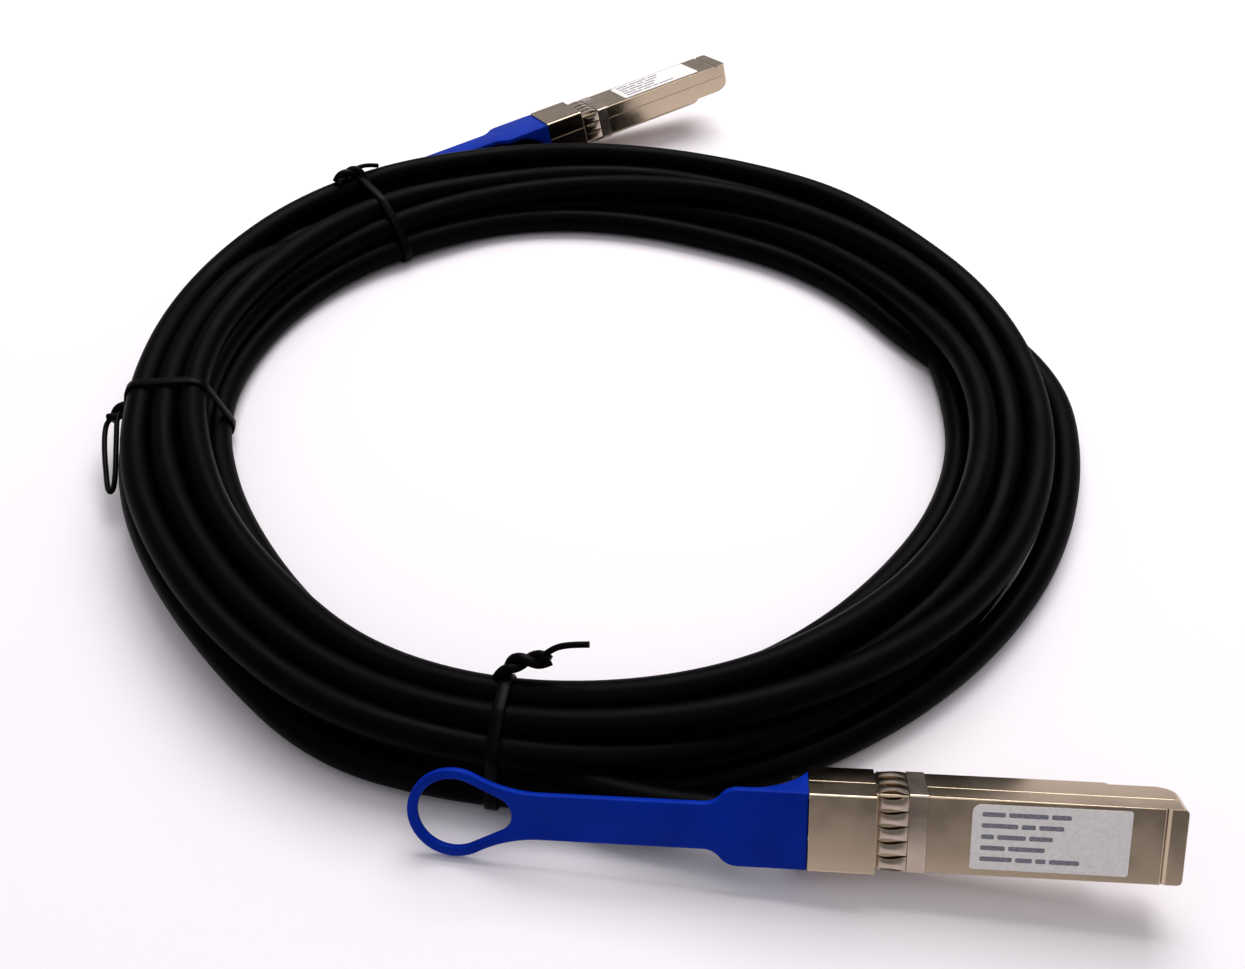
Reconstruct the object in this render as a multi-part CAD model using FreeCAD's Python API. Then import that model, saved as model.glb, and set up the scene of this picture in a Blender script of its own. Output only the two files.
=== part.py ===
# Direct attach copper cable: two pluggable connectors on one coiled twinaxial cable.
#
# Row frame: millimetres, +Z up, the surface it lies on at Z = 0, origin at the centre of
# the ground that the two plugs span.
# Plug frame: X from the plug's positive stop towards its nose, Y across its width,
# Z out of its label face, which lies at Z = 0.

import FreeCAD, Part
import math
import os
from FreeCAD import Placement, Rotation, Vector

os.makedirs("parts", exist_ok=True)

# ---- where the plugs and the coil lie ------------------------------------------------
near_plug_at = (38.0, -127.1, 11.9)      # positive stop, label face, mid width
near_plug_turn = (-5.4, -3.9, 60.7)      # yaw, pitch, roll in degrees
far_plug_at = (-17.7, 107.4, 12.2)
far_plug_turn = (27.5, -6.9, -13.0)
coil_centre = (-10.1, -13.5)

# ---- plug housing --------------------------------------------------------------------
nose_length = 47.5          # positive stop to nose
collar_length = 10.6        # positive stop to the back face
collar_width = 13.8
collar_rise = 1.35          # collar's top above the label face
collar_depth = 9.3          # collar's underside below the label face
collar_edge = 0.35          # rounded upper long edges of the collar
collar_chamfer = 1.1        # its lower long edges
body_depth = 8.5
body_width = 13.6           # where the body leaves the collar
nose_width = 13.1
bottom_chamfer = 0.8
top_edge = 0.25
nose_round = 3.6            # lower corner of the nose, seen from the side
nose_corner = 0.8           # corners of the nose, seen from above
card_opening = 10.4         # open underside, measured back from the nose
card_opening_rise = 1.1     # the side walls end this much higher beside it
nose_groove_at = 3.0        # groove across the label face, back from the nose
nose_groove_width = 0.9
nose_groove_depth = 0.3
seam_depth = 3.2            # parting plane of the two shells below the label face
seam_bevel = 0.15           # outer edges of the base along the parting plane
side_wall = 1.0
top_wall = 1.0
floor_wall = 1.0
rear_wall = 1.5
rib_clearance = 0.1         # between the cover's ribs and the base's walls
rib_setback = 4.0           # ribs stand this far inside the board's ends

# ---- spring gasket that wraps the body in front of the collar ------------------------
gasket_length = 8.1
gasket_gauge = 0.2
gasket_clearance = 0.05
gasket_band = 2.9           # plain band at the gasket's front
finger_bulge = 0.5
finger_shoulder = 0.7       # height of the shoulders beside the crest, as a share of it
finger_toe = 0.3            # from the collar to the fingers' toes
finger_slit_end = 0.12      # width of a slit where it reaches the band
finger_slit = 0.8           # width of a slit at its open end
across_finger_count = 5
down_finger_count = 3
gasket_gap = 4.2            # gap in the underside for the latch

# ---- cable and what it ends in -------------------------------------------------------
cable_diameter = 6.0
cable_sides = 12            # the plain cable solids are drawn with flats
cable_hole_clearance = 0.15
cable_axis_depth = 3.6      # cable axis below the label face
ferrule_across = 6.1        # over its corners
ferrule_clearance = 0.02
ferrule_bore = 4.6
ferrule_length = 5.7
wire_diameter = 1.2
wire_sides = 8
wire_spacing = 1.24
pair_spacing = 1.7
wire_dip_setback = 2.3      # the wires reach the board's faces this far behind it
wire_lap = 2.9              # and lie on it for this length

# ---- circuit board -------------------------------------------------------------------
board_width = 9.2
board_gauge = 1.0
board_underside = 6.25      # below the label face
board_front_setback = 3.2   # from the nose
board_back_at = 11.1
board_chamfer = 0.3
pad_count = 10
pad_pitch = 0.8
pad_width = 0.54
pad_length = 3.6
pad_gauge = 0.05
pad_setback = 0.5

# ---- latch and release ---------------------------------------------------------------
latch_shoulder_at = 2.5     # locking face in front of the positive stop
boss_height = 0.45          # below the body's underside
boss_flat = 0.6
rocker_width = 2.6
rocker_gauge = 0.75
rocker_reach = 4.0          # front end in front of the positive stop
rocker_inset = 0.15         # the lever's underside inside the body's underside
pivot_setback = 3.0         # pivot pin behind the positive stop
pivot_depth = 7.95
pin_diameter = 0.9
pin_clearance = 0.03        # in the lever
pin_seat_clearance = 0.01   # in the base shell
pin_length = 6.0
hub_diameter = 1.9
channel_width = 3.2
channel_roof = 6.8          # below the label face
spring_pocket_roof = 6.4
spring_pocket_back = 1.0    # behind the positive stop
spring_pocket_front = 4.6
leaf_gauge = 0.15
leaf_width = 2.0
leaf_clearance = 0.1        # behind the leaf in its pocket
leaf_foot = 1.2
leaf_tip = 0.5
leaf_setback = 0.6          # from the lever's front end
tail_reach = 8.5            # tail's end behind the positive stop
tail_top = 8.0
tail_bottom = 8.65
tail_ramp_start = 6.2
tail_ramp_rise = 0.55
slider_gauge = 0.4
slider_tongue_width = 2.4
slider_top = 6.9            # below the label face
slider_lip_at = 5.6         # front face of the lip, behind the positive stop
slider_lip_bottom = 7.95
slider_yoke_length = 2.0
slider_yoke_gap = 0.3       # from the tab's front face
slider_arm_top = 1.6        # the yoke's arms end this far below the label face
slider_clearance = 0.1

# ---- pull tab ------------------------------------------------------------------------
tab_gap = 0.3               # between the collar's back and the tab
tab_top = 1.1               # above the label face
tab_gauge = 1.4
hood_length = 11.0
hood_wall = 1.4
hood_drop = 6.7             # side walls reach this far below the label face
hood_curve_length = 8.1
shoulder_length = 5.6
strap_width = 8.2
ring_at = 68.6              # centre of the finger ring behind the positive stop
ring_radius = 7.9
ring_neck_radius = 22.0
ring_hole_radius = 6.2
ring_hole_tip_radius = 3.4
ring_hole_tip_offset = 6.3
tab_edge = 0.35

# ---- label and rivets ----------------------------------------------------------------
label_back_at = 14.9
label_length = 24.3
label_width = 11.4
label_offset = 0.25
label_gauge = 0.1
label_corner = 0.5
label_round = 1.4           # larger corner
rivet_setback = 6.4         # behind the positive stop
rivet_offset = 4.9
rivet_diameter = 1.4
rivet_clearance = 0.03
rivet_tip_depth = 1.2       # below the label face
rivet_sink = 0.2            # lower end inside the collar's underside

# ---- coil and ties -------------------------------------------------------------------
coil_outer_radius = 104.0
coil_inner_radius = 78.4
coil_inner_shift = (-1.7, -4.0)    # the turns lie tighter at the front than at the back
coil_height = 13.0
coil_edge = 3.6
tie_width = 2.0
tie_gauge = 0.6
tie_clearance = 0.1
twist_diameter = 1.1
tie_sides = 6

# ---- lead routes, plug to coil, in the row frame -------------------------------------
near_straight = 24.0        # how far each cable runs straight out of its plug
far_straight = 15.0
near_route = [
    (-16.1, -112.4, 6.6),
]
far_route = [
    (-50.9, 81.3, 4.2),
    (-60.2, 64.1, 6.4),
]

# ---- ties: direction from the coil's centre, then outward, sideways and height of the
# ---- points of the twisted ends and of the loose tail, from the direction's foot
ties = {
    "front_tie": (
        -98.0,
        [(84.0, 0.0, 12.5), (82.6, 1.6, 14.4), (81.4, 4.4, 15.2), (80.9, 7.4, 15.4)],
        [(81.8, 3.2, 15.2), (80.2, 5.2, 16.4), (79.6, 8.6, 16.8), (79.2, 13.6, 17.0)],
    ),
    "left_tie": (
        -175.0,
        [(105.3, 0.0, 8.5), (106.2, 1.2, 8.2), (107.4, 4.0, 7.2), (107.2, 8.0, 6.2)],
        [(107.0, 5.0, 7.0), (106.8, 10.0, 6.0), (107.6, 16.0, 4.6), (108.6, 23.0, 3.4)],
    ),
    "rear_tie": (
        129.0,
        [(99.4, 0.0, 14.3), (99.6, -1.6, 14.8), (99.2, -4.4, 15.0), (98.2, -7.4, 14.6)],
        [(99.2, -3.4, 15.2), (100.2, -1.0, 15.6), (100.4, 2.0, 15.6), (99.4, 5.0, 15.0)],
    ),
}

near_plug = Placement(Vector(*near_plug_at), Rotation(*near_plug_turn))
far_plug = Placement(Vector(*far_plug_at), Rotation(*far_plug_turn))


def box(x0, x1, y0, y1, z0, z1):
    return Part.makeBox(x1 - x0, y1 - y0, z1 - z0, Vector(x0, y0, z0))


def prism(points, direction):
    corners = [Vector(*p) for p in points]
    wire = Part.makePolygon(corners + corners[:1])
    return Part.Face(wire).extrude(Vector(*direction))


def side_prism(points, half_width, middle=0.0):
    """Solid of an outline in the plug's X-Z plane, centred across the width."""
    placed = [(x, middle - half_width, z) for x, z in points]
    return prism(placed, (0, 2 * half_width, 0))


def mirrored(point):
    """The same point on the other side of the plug's middle plane."""
    return Vector(point.x, -point.y, point.z)


def cylinder(radius, start, direction, length):
    return Part.makeCylinder(radius, length, Vector(*start), Vector(*direction))


def edges_along(shape, axis, test):
    """Straight edges parallel to an axis whose middle passes a test."""
    picked = []
    for edge in shape.Edges:
        if len(edge.Vertexes) != 2 or edge.Curve.TypeId != "Part::GeomLine":
            continue
        way = edge.Vertexes[1].Point - edge.Vertexes[0].Point
        if abs(way.normalize().dot(Vector(*axis))) > 0.99 and test(edge.CenterOfMass):
            picked.append(edge)
    return picked


# ---- housing -------------------------------------------------------------------------

def body_section(inset):
    """Cross-section of the body in front of the collar, with its lower corners cut."""
    half = body_width / 2 - inset
    bottom = -body_depth + inset
    cut = bottom_chamfer
    lift = top_edge
    return [
        (-half + lift, -inset), (half - lift, -inset), (half, -inset - lift),
        (half, bottom + cut), (half - cut, bottom), (-half + cut, bottom),
        (-half, bottom + cut), (-half, -inset - lift),
    ]


def section_prism(section, x0, x1):
    return prism([(x0, y, z) for y, z in section], (x1 - x0, 0, 0))


def body_plan():
    """The body seen from above: it tapers slightly and its nose corners are rounded."""
    half = body_width / 2
    tip = nose_width / 2
    r = nose_corner
    bend = math.sqrt(0.5) * r
    corner = Vector(nose_length - r, tip - r, 0)
    start = Vector(nose_length - r, tip, 0)
    end = Vector(nose_length, tip - r, 0)
    middle = corner + Vector(bend, bend, 0)
    edges = [
        Part.makeLine(Vector(0, half, 0), start),
        Part.Arc(start, middle, end).toShape(),
        Part.makeLine(end, mirrored(end)),
        Part.Arc(mirrored(end), mirrored(middle), mirrored(start)).toShape(),
        Part.makeLine(mirrored(start), Vector(0, -half, 0)),
        Part.makeLine(Vector(0, -half, 0), Vector(0, half, 0)),
    ]
    face = Part.Face(Part.Wire(edges))
    face.translate(Vector(0, 0, -collar_depth))
    return face.extrude(Vector(0, 0, collar_depth + collar_rise))


def body_profile():
    """The body seen from the side: raised side walls at the card opening, round nose."""
    step_at = nose_length - card_opening
    low = -body_depth
    step = low + card_opening_rise
    r = nose_round
    bend = math.sqrt(0.5) * r
    centre = Vector(nose_length - r, 0, step + r)
    start = Vector(nose_length - r, 0, step)
    middle = centre + Vector(bend, 0, -bend)
    end = Vector(nose_length, 0, step + r)
    points = [end, Vector(nose_length, 0, 0), Vector(0, 0, 0), Vector(0, 0, low),
              Vector(step_at - card_opening_rise, 0, low), Vector(step_at, 0, step), start]
    edges = [Part.makeLine(a, b) for a, b in zip(points, points[1:])]
    edges.append(Part.Arc(start, middle, end).toShape())
    face = Part.Face(Part.Wire(edges))
    face.translate(Vector(0, -collar_width, 0))
    return face.extrude(Vector(0, 2 * collar_width, 0))


def housing_envelope():
    """Outside of both shells together, before the hollows are cut."""
    body = section_prism(body_section(0), 0, nose_length)
    body = body.common(body_plan()).common(body_profile())
    recess = section_prism(body_section(-1), 0, gasket_length)
    core = section_prism(body_section(gasket_gauge), -1, gasket_length + 1)
    body = body.cut(recess.cut(core))
    half = collar_width / 2
    collar = box(-collar_length, 0, -half, half, -collar_depth, collar_rise)
    upper = edges_along(collar, (1, 0, 0), lambda p: p.z > -seam_depth)
    collar = collar.makeFillet(collar_edge, upper)
    lower = edges_along(collar, (1, 0, 0), lambda p: p.z < -seam_depth)
    collar = collar.makeChamfer(collar_chamfer, lower)
    groove_x = nose_length - nose_groove_at
    groove = side_prism([
        (groove_x - nose_groove_width / 2, 0), (groove_x + nose_groove_width / 2, 0),
        (groove_x, -nose_groove_depth)], collar_width)
    return body.fuse(collar).cut(groove).removeSplitter()


lap = 0.01                  # how far hollows run into each other
inner_half = nose_width / 2 - side_wall
cavity_back = ferrule_length + rear_wall - collar_length      # where the shells open out
raised_floor_front = spring_pocket_front + side_wall
raised_floor = spring_pocket_roof - floor_wall / 2
main_floor = body_depth - floor_wall


def cavity(x0, x1, z0, z1):
    """Hollow between the side walls."""
    return box(x0, x1, -inner_half, inner_half, z0, z1)


def cable_bore():
    """Round entry for the cable and hexagonal seat for its ferrule."""
    hole = cable_diameter / 2 + cable_hole_clearance
    entry = cylinder(hole, (-collar_length - 1, 0, -cable_axis_depth), (1, 0, 0), rear_wall + 1)
    seat = ferrule_prism(ferrule_clearance, ferrule_length + 1)
    return entry.fuse(seat)


def ferrule_prism(clearance, length):
    start = Vector(-collar_length + rear_wall, 0, -cable_axis_depth)
    way = Vector(1, 0, 0)
    section = polygon_section(start, way, ferrule_across / 2 + clearance, 6)
    return Part.Face(section).extrude(way * length)


def cover_shell():
    above = box(-2 * collar_length, 2 * nose_length, -collar_width, collar_width,
                -seam_depth, 2 * collar_rise)
    shell = housing_envelope().common(above)
    roof = -top_wall
    back = cavity(cavity_back, gasket_length, -seam_depth - 1, roof - gasket_gauge)
    main = cavity(gasket_length - lap, nose_length + 1, -seam_depth - 1, roof)
    shell = shell.cut(back).cut(main).cut(cable_bore())
    shell = shell.cut(rivet_holes())
    return shell.fuse(hold_downs()).removeSplitter()


def hold_downs():
    """Ribs inside the cover that press on the board's edges."""
    top = -board_underside + board_gauge
    ribs = []
    for x in (board_back_at + rib_setback, nose_length - card_opening - rib_setback):
        for side in (-1, 1):
            ribs.append(rib(x, side, top, -top_wall / 2))
    return ribs[0].multiFuse(ribs[1:])


def rib(x, side, z0, z1):
    inner = board_width / 2 - side_wall
    outer = inner_half - rib_clearance
    y0, y1 = sorted((side * inner, side * outer))
    return box(x - side_wall, x + side_wall, y0, y1, z0, z1)


def base_shell():
    below = box(-2 * collar_length, 2 * nose_length, -collar_width, collar_width,
                -2 * collar_depth, -seam_depth)
    shell = housing_envelope().common(below).cut(seam_wedges())
    back = cavity(cavity_back, raised_floor_front, -raised_floor, 0)
    middle = cavity(raised_floor_front - lap, nose_length - card_opening, -main_floor, 0)
    front = cavity(nose_length - card_opening - lap, nose_length + lap, -2 * collar_depth, 0)
    shell = shell.cut(back).cut(middle).cut(front).cut(cable_bore())
    shell = shell.cut(latch_channel()).cut(rivet_holes())
    return shell.fuse(board_ledges()).removeSplitter()


def seam_wedges():
    """What the bevels along the base's outer edges take away, clear of the gasket."""
    taper = (nose_width - body_width) / 2 / (nose_length - nose_corner)
    wedges = []
    for side in (-1, 1):
        half = side * collar_width / 2
        wedges.append(seam_wedge((-collar_length, half), (0, half), side))
        x0 = gasket_length + seam_bevel
        x1 = nose_length - 2 * nose_corner
        start = (x0, side * (body_width / 2 + taper * x0))
        end = (x1, side * (body_width / 2 + taper * x1))
        wedges.append(seam_wedge(start, end, side))
    return Part.makeCompound(wedges)


def seam_wedge(start, end, side):
    x, y = start
    corners = [(x, y + side * lap, -seam_depth + lap), (x, y - side * seam_bevel, -seam_depth + lap),
               (x, y + side * lap, -seam_depth - seam_bevel)]
    return prism(corners, (end[0] - x, end[1] - y, 0))


def board_ledges():
    """Ledges on both side walls that the board sits on."""
    x0 = board_back_at + side_wall
    x1 = nose_length - card_opening
    ledges = []
    for side in (-1, 1):
        inner = board_width / 2 - side_wall
        outer = inner_half + side_wall / 2
        y0, y1 = sorted((side * inner, side * outer))
        ledges.append(box(x0, x1, y0, y1, -main_floor - floor_wall / 2, -board_underside))
    return ledges[0].fuse(ledges[1])


def latch_channel():
    """Slot along the underside that holds the lever, its pin and the slider's tongue."""
    half = channel_width / 2
    bottom = -collar_depth - 1
    inner_wall = -collar_length + rear_wall
    run = box(inner_wall, 0, -half, half, bottom, -channel_roof)
    pocket = box(-spring_pocket_back, spring_pocket_front, -half, half, bottom,
                 -spring_pocket_roof)
    tongue_half = slider_tongue_width / 2 + slider_clearance
    slot = box(-collar_length - 1, inner_wall + 1, -tongue_half, tongue_half,
               -slider_top - slider_gauge - slider_clearance, -channel_roof)
    pin = cylinder(pin_diameter / 2 + pin_seat_clearance, (-pivot_setback, -pin_length / 2, -pivot_depth),
                   (0, 1, 0), pin_length)
    return run.fuse([pocket, slot, pin])


def rivet(side, clearance):
    """One straight rivet pin, or the hole it is pressed into."""
    low = -collar_depth + rivet_sink
    start = (-rivet_setback, side * rivet_offset, low - (collar_depth if clearance else 0))
    top = -rivet_tip_depth + clearance
    return cylinder(rivet_diameter / 2 + clearance, start, (0, 0, 1), top - start[2])


def rivet_holes():
    return rivet(-1, rivet_clearance).fuse(rivet(1, rivet_clearance))


def cover_rivets():
    return Part.makeCompound([rivet(-1, 0), rivet(1, 0)])


# ---- spring gasket -------------------------------------------------------------------

def arch(length, gauge):
    """Sheet folded over a crest: it rises from the band and falls back at the collar."""
    x1 = gasket_length - gasket_clearance - gasket_band
    x0 = gasket_clearance + finger_toe
    shoulder = finger_bulge * finger_shoulder
    outer = [(x1, 0)]
    for share, rise in ((0.2, shoulder), (0.5, finger_bulge), (0.8, shoulder)):
        outer.append((x1 + (x0 - x1) * share, rise))
    outer.append((x0, 0))
    inner = [(x, z - gauge) for x, z in reversed(outer)]
    return side_prism(outer + inner, length / 2)


def finger_row(length, count):
    """A row of sprung fingers, split by slits that close towards the band."""
    row = arch(length, gasket_gauge)
    tip = gasket_length - gasket_clearance - gasket_band - finger_toe
    for k in range(1, count):
        y = -length / 2 + k * length / count
        slit = prism([(0, y - finger_slit / 2, -2), (0, y + finger_slit / 2, -2),
                      (tip, y + finger_slit_end / 2, -2), (tip, y - finger_slit_end / 2, -2)],
                     (0, 0, 4))
        row = row.cut(slit)
    return row


def emi_gasket():
    front = gasket_length - gasket_clearance
    band_back = front - gasket_band
    band = section_prism(body_section(0), band_back, front)
    band = band.cut(section_prism(body_section(gasket_gauge), band_back - 1, front + 1))
    half = body_width / 2
    rows = []
    top_length = body_width - 2 * top_edge
    rows.append(finger_row(top_length, across_finger_count))
    bottom_length = body_width - 2 * bottom_chamfer
    bottom = finger_row(bottom_length, across_finger_count)
    bottom.rotate(Vector(0, 0, 0), Vector(1, 0, 0), 180)
    bottom.translate(Vector(0, 0, -body_depth))
    rows.append(bottom)
    side_length = body_depth - bottom_chamfer - top_edge
    middle_z = -(top_edge + side_length / 2)
    for side in (-1, 1):
        row = finger_row(side_length, down_finger_count)
        row.rotate(Vector(0, 0, 0), Vector(1, 0, 0), -90 * side)
        row.translate(Vector(0, side * half, middle_z))
        rows.append(row)
    gasket = band.multiFuse(rows)
    gap = box(-lap, gasket_length, -gasket_gap / 2, gasket_gap / 2,
              -body_depth - 2 * finger_bulge, -body_depth + bottom_chamfer)
    return gasket.cut(gap).removeSplitter()


# ---- inside the plug -----------------------------------------------------------------

def circuit_board():
    half = board_width / 2
    top = -board_underside + board_gauge
    front = nose_length - board_front_setback
    c = board_chamfer
    outline = [(board_back_at, -board_underside), (front - c, -board_underside),
               (front, -board_underside + c), (front, top - c), (front - c, top),
               (board_back_at, top)]
    return side_prism(outline, half)


def contact_pads():
    front = nose_length - board_front_setback - pad_setback
    top = -board_underside + board_gauge
    pads = []
    for k in range(pad_count):
        y = (k - (pad_count - 1) / 2) * pad_pitch
        for z in (top, -board_underside - pad_gauge):
            pads.append(box(front - pad_length, front, y - pad_width / 2, y + pad_width / 2,
                            z, z + pad_gauge))
    return Part.makeCompound(pads)


def cable_ferrule():
    """Crimped hexagonal sleeve on the cable's end."""
    start = (-collar_length + rear_wall, 0, -cable_axis_depth)
    bore = cylinder(ferrule_bore / 2, start, (1, 0, 0), ferrule_length)
    return ferrule_prism(0, ferrule_length).cut(bore)


def polygon_section(centre, way, radius, sides):
    """Regular polygon square to a direction, with its corners on a circle."""
    way = Vector(way).normalize()
    across = way.cross(Vector(0, 0, 1)).normalize()
    corners = []
    for k in range(sides):
        spoke = Rotation(way, 360 * (k + 0.5) / sides).multVec(across)
        corners.append(centre + spoke * radius)
    return Part.makePolygon(corners + corners[:1])


def mitred_rod(points, radius, sides):
    """Thin rod with a polygonal section and mitred bends, light enough to repeat."""
    section = polygon_section(points[0], points[1] - points[0], radius, sides)
    right_corner = 1
    return Part.makePolygon(points).makePipeShell([section], True, False, right_corner)


def route_edges(points):
    edges = []
    radii = []
    at = points[0]
    for before, corner, after in zip(points, points[1:], points[2:]):
        run_in = (corner - before)
        run_out = (after - corner)
        half_turn = run_in.getAngle(run_out) / 2
        shorter = min(run_in.Length, run_out.Length)
        back = 0.45 * shorter
        radius = back / math.tan(half_turn)
        radii.append(radius)
        unit_in = run_in.normalize()
        unit_out = run_out.normalize()
        start = corner - unit_in * back
        end = corner + unit_out * back
        inward = (unit_out - unit_in).normalize()
        middle = corner + inward * (radius / math.cos(half_turn) - radius)
        edges.append(Part.makeLine(at, start))
        edges.append(Part.Arc(start, middle, end).toShape())
        at = end
    edges.append(Part.makeLine(at, points[-1]))
    return edges, radii


def wire_pair(upper):
    """Two insulated conductors side by side, from the cable's end to the board."""
    rise = pair_spacing / 2 if upper else -pair_spacing / 2
    start_z = -cable_axis_depth + rise
    wire_radius = wire_diameter / 2
    back = -collar_length + rear_wall
    end_z = -board_underside - wire_radius
    if upper:
        end_z = -board_underside + board_gauge + wire_radius
    dip = board_back_at - wire_dip_setback
    track = [(back, start_z), (raised_floor_front - side_wall, start_z), (dip, end_z),
             (board_back_at + wire_lap, end_z)]
    rods = []
    for side in (-1, 1):
        y = side * wire_spacing / 2
        rods.append(mitred_rod([Vector(x, y, z) for x, z in track], wire_radius, wire_sides))
    return Part.makeCompound(rods)


# ---- latch and release ---------------------------------------------------------------

def latch_rocker():
    half = rocker_width / 2
    low = -body_depth + rocker_inset
    high = low + rocker_gauge
    boss = -body_depth - boss_height
    flat_end = latch_shoulder_at + boss_flat
    ramp_end = flat_end + (low - boss)
    lever = side_prism([
        (-pivot_setback, low), (latch_shoulder_at, low), (latch_shoulder_at, boss),
        (flat_end, boss), (ramp_end, low), (rocker_reach, low), (rocker_reach, high),
        (-pivot_setback, high)], half)
    tail = side_prism([
        (-pivot_setback, -tail_bottom), (-pivot_setback, -tail_top),
        (-tail_ramp_start, -tail_top), (-tail_reach, -tail_top + tail_ramp_rise),
        (-tail_reach, -tail_bottom)], half)
    hub = cylinder(hub_diameter / 2, (-pivot_setback, -half, -pivot_depth), (0, 1, 0),
                   rocker_width)
    hole = cylinder(pin_diameter / 2 + pin_clearance, (-pivot_setback, -half - 1, -pivot_depth),
                    (0, 1, 0), rocker_width + 2)
    return lever.fuse([tail, hub]).cut(hole).removeSplitter()


def latch_pin():
    return cylinder(pin_diameter / 2, (-pivot_setback, -pin_length / 2, -pivot_depth),
                    (0, 1, 0), pin_length)


def latch_spring():
    """Leaf that presses the lever's front end outwards."""
    top = -spring_pocket_roof
    lever_top = -body_depth + rocker_inset + rocker_gauge
    g = leaf_gauge
    x0 = -spring_pocket_back + leaf_clearance
    x1 = x0 + leaf_foot
    x3 = rocker_reach - leaf_setback
    x2 = x3 - leaf_tip
    outline = [(x0, top - g), (x1, top - g), (x2, lever_top), (x3, lever_top),
               (x3, lever_top + g), (x2 + g / 3, lever_top + g), (x1 + g / 3, top), (x0, top)]
    return side_prism(outline, leaf_width / 2)


def release_slider():
    """Stamped tongue with a lip at its front and a yoke that grips the tab's hood."""
    top = -slider_top
    low = top - slider_gauge
    back = -collar_length - tab_gap - slider_yoke_length - slider_yoke_gap
    yoke_front = back + slider_yoke_length
    tongue = box(yoke_front - slider_gauge, -slider_lip_at, -slider_tongue_width / 2,
                 slider_tongue_width / 2, low, top)
    lip = box(-slider_lip_at - slider_gauge, -slider_lip_at, -slider_tongue_width / 2,
              slider_tongue_width / 2, -slider_lip_bottom, top)
    reach = collar_width / 2 - hood_wall
    bridge = box(back, yoke_front, -reach, reach, low, top)
    arms = []
    for side in (-1, 1):
        y0, y1 = sorted((side * reach, side * (reach - slider_gauge)))
        arms.append(box(back, yoke_front, y0, y1, low, -slider_arm_top))
    return tongue.fuse([lip, bridge] + arms).removeSplitter()


# ---- pull tab ------------------------------------------------------------------------

def tab_plan():
    """Outline of hood, shoulders, strap and finger ring, seen from the label side."""
    front = -collar_length - tab_gap
    half = collar_width / 2
    strap = strap_width / 2
    hood_end = front - hood_length
    strap_start = hood_end - shoulder_length
    drop = half - strap
    # neck arc: outside the strap, touching its edge and the ring's outer circle
    neck_y = strap + ring_neck_radius
    reach = ring_radius + ring_neck_radius
    neck_x = -ring_at + math.sqrt(reach ** 2 - neck_y ** 2)
    meet = Vector(-ring_at + (neck_x + ring_at) * ring_radius / reach,
                  neck_y * ring_radius / reach, 0)
    neck_start = Vector(neck_x, strap, 0)
    swing = math.atan2(meet.y - neck_y, meet.x - neck_x) / 2 - math.pi / 4
    neck_middle = Vector(neck_x + ring_neck_radius * math.cos(swing),
                         neck_y + ring_neck_radius * math.sin(swing), 0)
    upper = shoulder_curve(hood_end, strap_start, half, drop)
    edges = [Part.makeLine(Vector(front, half, 0), Vector(hood_end, half, 0))]
    edges += upper
    edges.append(Part.makeLine(Vector(strap_start, strap, 0), neck_start))
    edges.append(Part.Arc(neck_start, neck_middle, meet).toShape())
    edges.append(Part.Arc(meet, Vector(-ring_at - ring_radius, 0, 0), mirrored(meet)).toShape())
    edges.append(Part.Arc(mirrored(meet), mirrored(neck_middle), mirrored(neck_start)).toShape())
    edges.append(Part.makeLine(mirrored(neck_start), Vector(strap_start, -strap, 0)))
    for edge in reversed(upper):
        edges.append(edge.mirror(Vector(0, 0, 0), Vector(0, 1, 0)))
    edges.append(Part.makeLine(Vector(hood_end, -half, 0), Vector(front, -half, 0)))
    edges.append(Part.makeLine(Vector(front, -half, 0), Vector(front, half, 0)))
    return Part.Face(Part.Wire(Part.__sortEdges__(edges)))


def shoulder_curve(x0, x1, half, drop):
    """S-curve from the hood's edge in to the strap's edge, as two equal arcs."""
    run = x0 - x1
    radius = (run ** 2 + drop ** 2) / (4 * drop)
    middle = Vector((x0 + x1) / 2, half - drop / 2, 0)
    turn = math.asin(run / 2 / radius)
    first = Vector(x0 - radius * math.sin(turn / 2), half - radius + radius * math.cos(turn / 2), 0)
    second = Vector(x1 + radius * math.sin(turn / 2),
                    half - drop + radius - radius * math.cos(turn / 2), 0)
    return [
        Part.Arc(Vector(x0, half, 0), first, middle).toShape(),
        Part.Arc(middle, second, Vector(x1, half - drop, 0)).toShape(),
    ]


def ring_hole():
    """Egg-shaped finger hole: a large and a small circle joined by their tangents."""
    big = ring_hole_radius
    small = ring_hole_tip_radius
    lean = math.asin((big - small) / ring_hole_tip_offset)
    cos, sin = math.cos(lean), math.sin(lean)
    cx = -ring_at
    tip = cx + ring_hole_tip_offset
    a = Vector(cx + big * sin, big * cos, 0)
    b = Vector(tip + small * sin, small * cos, 0)
    edges = [
        Part.Arc(a, Vector(cx - big, 0, 0), mirrored(a)).toShape(),
        Part.makeLine(mirrored(a), mirrored(b)),
        Part.Arc(mirrored(b), Vector(tip + small, 0, 0), b).toShape(),
        Part.makeLine(b, a),
    ]
    return Part.Face(Part.Wire(edges))


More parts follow.
